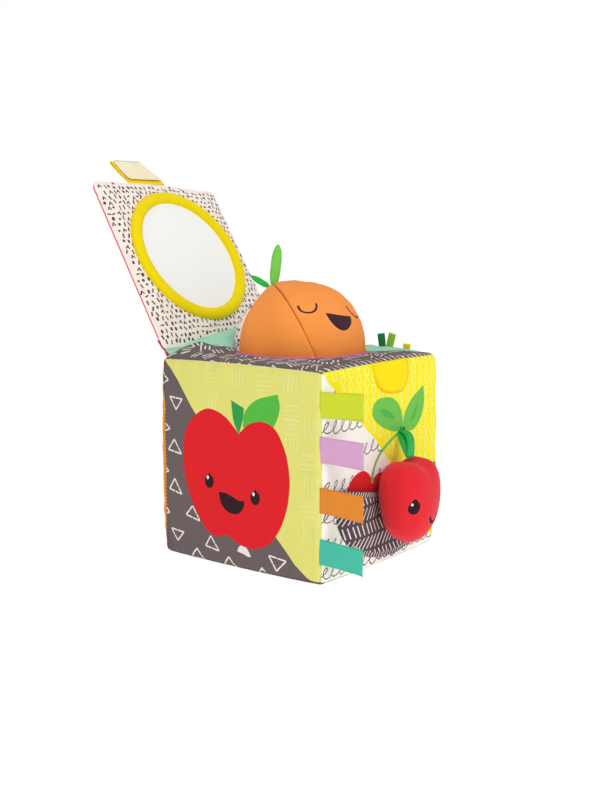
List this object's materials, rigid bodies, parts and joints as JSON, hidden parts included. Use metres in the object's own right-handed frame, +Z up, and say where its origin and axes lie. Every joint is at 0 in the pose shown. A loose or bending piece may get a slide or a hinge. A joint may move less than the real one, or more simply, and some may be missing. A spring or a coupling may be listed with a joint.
{
  "type": "baby activity cube",
  "caption": "Soft fabric-covered foam activity cube with a hinged mirror lid, a plush fruit in the round top opening, a plush cherry on a ribbon, a pocket and satin ribbon tags.",
  "frame": {"origin": "centre of the cube's flat bottom face", "axes": "+Z up; +X out of the face with the plush cherry and the pocket; -Y out of the face with the printed apple; the lid hinges on the top edge at -X"},
  "size_m": [0.3075, 0.1632, 0.3113],
  "materials": {
    "pear_print": "brushed woven print",
    "cherry_print": "brushed woven print",
    "mint_fabric": "brushed woven",
    "orange_fabric": "brushed woven",
    "teal_fabric": "brushed woven",
    "grey_print": "brushed woven print",
    "foam": "open-cell foam",
    "pink_lining": "smooth woven",
    "pink_binding": "elastic binding",
    "crinkle": "thin crackling film",
    "yellow_patch": "brushed loop fabric",
    "pocket_print": "brushed woven print",
    "coral_fabric": "brushed woven",
    "green_thread": "thread",
    "terrazzo_print": "brushed woven print",
    "mirror": "baby-safe mirror film",
    "yellow_fleece": "stuffed ring fabric",
    "yellow_satin": "satin ribbon",
    "hook_tape": "hook tape",
    "orange_plush": "brushed polyester",
    "fibre": "loose polyester fibre",
    "capsule_plastic": "moulded",
    "bead_plastic": "moulded",
    "leaf_fabric": "brushed polyester",
    "green_ribbon": "satin ribbon",
    "cherry_red": "brushed polyester",
    "lime_satin": "satin ribbon",
    "lilac_satin": "satin ribbon",
    "orange_satin": "satin ribbon",
    "teal_satin": "satin ribbon"
  },
  "bodies": {
    "cube": {"front_cover": "pear_print", "right_cover": "cherry_print", "back_cover": "mint_fabric", "left_cover": "orange_fabric", "bottom_cover": "teal_fabric", "top_cover_grey": "grey_print", "top_cover_mint": "mint_fabric", "front_foam": "foam", "right_foam": "foam", "back_foam": "foam", "left_foam": "foam", "bottom_foam": "foam", "top_foam": "foam", "inner_lining": "pink_lining", "opening_binding": "pink_binding", "crinkle_film": "crinkle", "closure_patch": "yellow_patch", "cherry_pocket": "pocket_print", "lid_hinge_tape": "coral_fabric", "loop_bar_tack": "green_thread"},
    "lid": {"lid_outer_cover": "coral_fabric", "lid_foam": "foam", "lid_lining": "terrazzo_print", "mirror_film": "mirror", "mirror_ring": "yellow_fleece"},
    "lid_tab": {"lid_tab_ribbon": "yellow_satin", "lid_tab_hook": "hook_tape"},
    "fruit": {"fruit_gore_1": "orange_plush", "fruit_gore_2": "orange_plush", "fruit_gore_3": "orange_plush", "fruit_gore_4": "orange_plush", "fruit_stuffing": "fibre", "rattle_capsule": "capsule_plastic", "rattle_beads": "bead_plastic", "leaf_stitch": "green_thread"},
    "leaf_tall": {"leaf_tall": "leaf_fabric"},
    "leaf_short": {"leaf_short": "leaf_fabric"},
    "cherry_loop": {"cherry_loop": "green_ribbon"},
    "cherry": {"cherry_front_panel": "cherry_red", "cherry_back_panel": "cherry_red", "cherry_stuffing": "fibre"},
    "tag_lime": {"tag_lime": "lime_satin"},
    "tag_lilac": {"tag_lilac": "lilac_satin"},
    "tag_orange": {"tag_orange": "orange_satin"},
    "tag_teal": {"tag_teal": "teal_satin"},
    "back_tag_green": {"back_tag_green": "green_ribbon"},
    "back_tag_lime": {"back_tag_lime": "lime_satin"},
    "back_tag_yellow": {"back_tag_yellow": "yellow_satin"}
  },
  "joints": [
    {"name": "lid_hinge", "type": "hinge", "parent": "cube", "child": "lid", "pos_m": [-0.082, 0, 0.162], "axis": [0, -1, 0], "range_deg": [-50, 125]},
    {"name": "lid_tab_flex", "type": "hinge", "parent": "lid", "child": "lid_tab", "pos_m": [-0.16361, -0.009, 0.30055], "axis": [0, -1, 0], "range_deg": [-80, 35], "stiffness_Nm_per_rad": 0.004},
    {"name": "fruit_lift", "type": "slide", "parent": "cube", "child": "fruit", "axis": [0, 0, 1], "range_m": [-0.102, 0.11]},
    {"name": "leaf_tall_flex", "type": "hinge", "parent": "fruit", "child": "leaf_tall", "pos_m": [-0.0228, -0.0077, 0.2152], "axis": [0.9404, 0.3401, 0], "range_deg": [-30, 30], "stiffness_Nm_per_rad": 0.003},
    {"name": "leaf_short_flex", "type": "hinge", "parent": "fruit", "child": "leaf_short", "pos_m": [-0.0255, -0.0098, 0.2146], "axis": [0, 1, 0], "range_deg": [-15, 25], "stiffness_Nm_per_rad": 0.003},
    {"name": "cherry_swing", "type": "hinge", "parent": "cube", "child": "cherry_loop", "pos_m": [0.081, 0.023, 0.1035], "axis": [0, -1, 0], "range_deg": [0, 90]},
    {"name": "cherry_rock", "type": "hinge", "parent": "cherry_loop", "child": "cherry", "pos_m": [0.1006, 0.0063, 0.0878], "axis": [1, 0, 0], "range_deg": [-20, 30]},
    {"name": "tag_lime_fold", "type": "hinge", "parent": "cube", "child": "tag_lime", "pos_m": [0.08, -0.08, 0.1355], "axis": [0, 0, 1], "range_deg": [-100, 45], "stiffness_Nm_per_rad": 0.002},
    {"name": "tag_lilac_fold", "type": "hinge", "parent": "cube", "child": "tag_lilac", "pos_m": [0.08, -0.08, 0.1025], "axis": [0, 0, 1], "range_deg": [-100, 45], "stiffness_Nm_per_rad": 0.002},
    {"name": "tag_orange_fold", "type": "hinge", "parent": "cube", "child": "tag_orange", "pos_m": [0.08, -0.08, 0.065], "axis": [0, 0, 1], "range_deg": [-100, 45], "stiffness_Nm_per_rad": 0.002},
    {"name": "tag_teal_fold", "type": "hinge", "parent": "cube", "child": "tag_teal", "pos_m": [0.08, -0.08, 0.026], "axis": [0, 0, 1], "range_deg": [-100, 45], "stiffness_Nm_per_rad": 0.002},
    {"name": "back_tag_green_fold", "type": "hinge", "parent": "cube", "child": "back_tag_green", "pos_m": [0.022, 0.0816, 0.1606], "axis": [1, 0, 0], "range_deg": [-60, 55], "stiffness_Nm_per_rad": 0.001},
    {"name": "back_tag_lime_fold", "type": "hinge", "parent": "cube", "child": "back_tag_lime", "pos_m": [0.032, 0.0816, 0.1606], "axis": [1, 0, 0], "range_deg": [-60, 55], "stiffness_Nm_per_rad": 0.001},
    {"name": "back_tag_yellow_fold", "type": "hinge", "parent": "cube", "child": "back_tag_yellow", "pos_m": [0.052, 0.0816, 0.1606], "axis": [1, 0, 0], "range_deg": [-60, 55], "stiffness_Nm_per_rad": 0.001}
  ]
}
